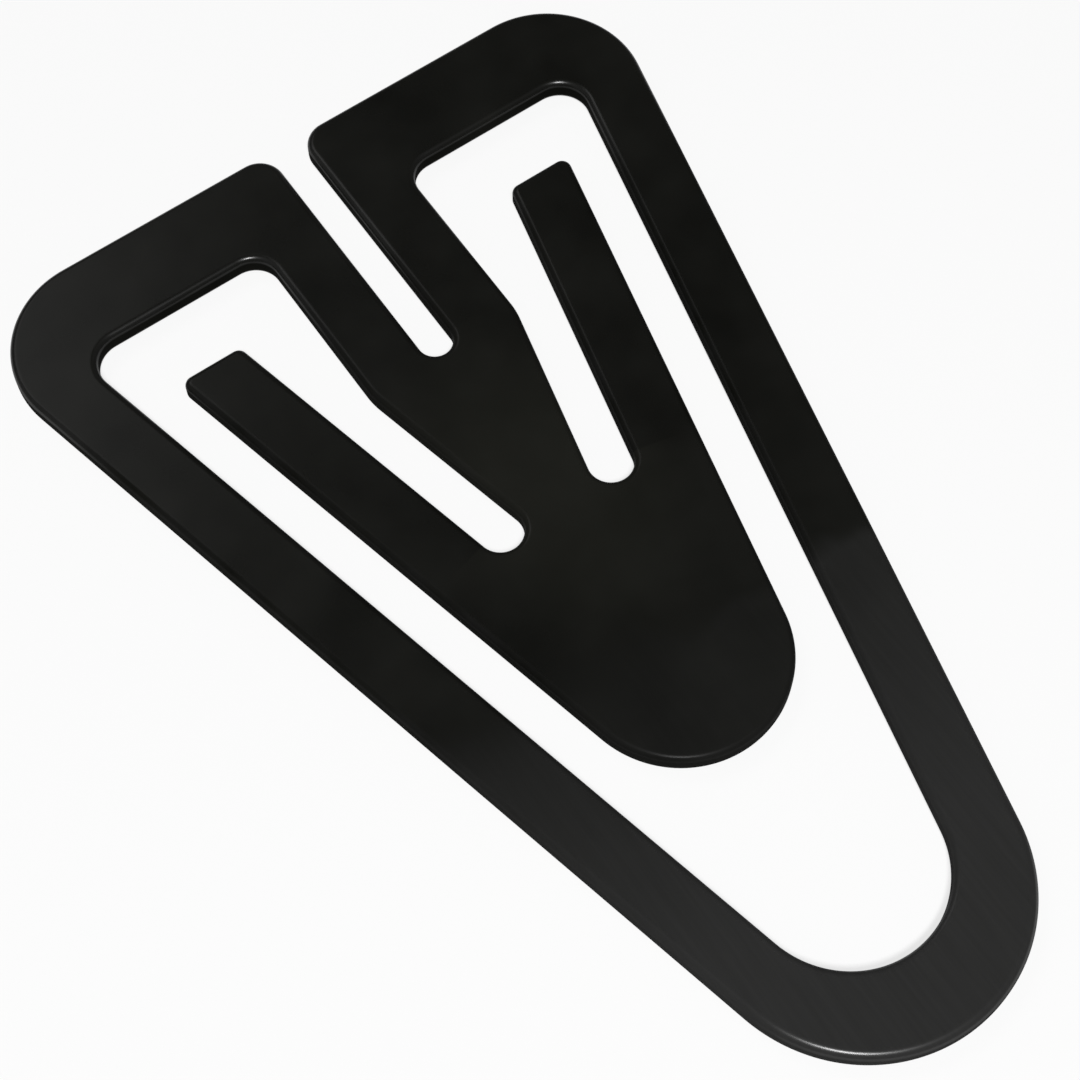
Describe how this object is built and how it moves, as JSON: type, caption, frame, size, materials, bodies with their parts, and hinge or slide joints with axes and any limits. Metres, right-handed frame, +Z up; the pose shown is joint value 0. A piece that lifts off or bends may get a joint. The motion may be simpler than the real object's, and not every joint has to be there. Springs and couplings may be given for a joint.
{
  "type": "letter clip",
  "caption": "Flat triangular letter clip with a round nose, a round-ended springy tongue and side fingers that grip paper.",
  "frame": {"origin": "middle of the clip's outline, on the underside it lies on", "axes": "+Y towards the wide end with the mouth slot, -Y towards the round nose, +X to the right seen with the nose towards the viewer, +Z up out of the sheet"},
  "size_m": [0.0326, 0.05, 0.0011],
  "materials": {
    "black_plastic": "satin, fine moulded grain"
  },
  "bodies": {
    "loop": {"nose_bow": "black_plastic", "left_leg": "black_plastic", "right_leg": "black_plastic", "left_shoulder": "black_plastic", "right_shoulder": "black_plastic", "left_crossbar": "black_plastic", "right_crossbar": "black_plastic"},
    "return_strips": {"left_return_strip": "black_plastic", "right_return_strip": "black_plastic"},
    "tongue": {"tongue_neck": "black_plastic", "tongue_blade": "black_plastic"},
    "left_finger": {"left_finger": "black_plastic"},
    "right_finger": {"right_finger": "black_plastic"}
  },
  "joints": [
    {"name": "strip_flex", "type": "hinge", "parent": "loop", "child": "return_strips", "pos_m": [0, 0.01882, 0.00055], "axis": [-1, 0, 0], "range_deg": [0, 12], "stiffness_Nm_per_rad": 0.28},
    {"name": "tongue_flex", "type": "hinge", "parent": "return_strips", "child": "tongue", "pos_m": [0, 0.0147, 0.00055], "axis": [-1, 0, 0], "range_deg": [0, 10], "stiffness_Nm_per_rad": 0.22},
    {"name": "right_finger_flex", "type": "hinge", "parent": "tongue", "child": "right_finger", "pos_m": [0.00588, 0.0046, 0.00055], "axis": [0.973, -0.2309, 0], "range_deg": [0, 10], "stiffness_Nm_per_rad": 0.08},
    {"name": "left_finger_flex", "type": "hinge", "parent": "tongue", "child": "left_finger", "pos_m": [-0.00588, 0.0046, 0.00055], "axis": [0.973, 0.2309, 0], "range_deg": [0, 10], "stiffness_Nm_per_rad": 0.08}
  ]
}
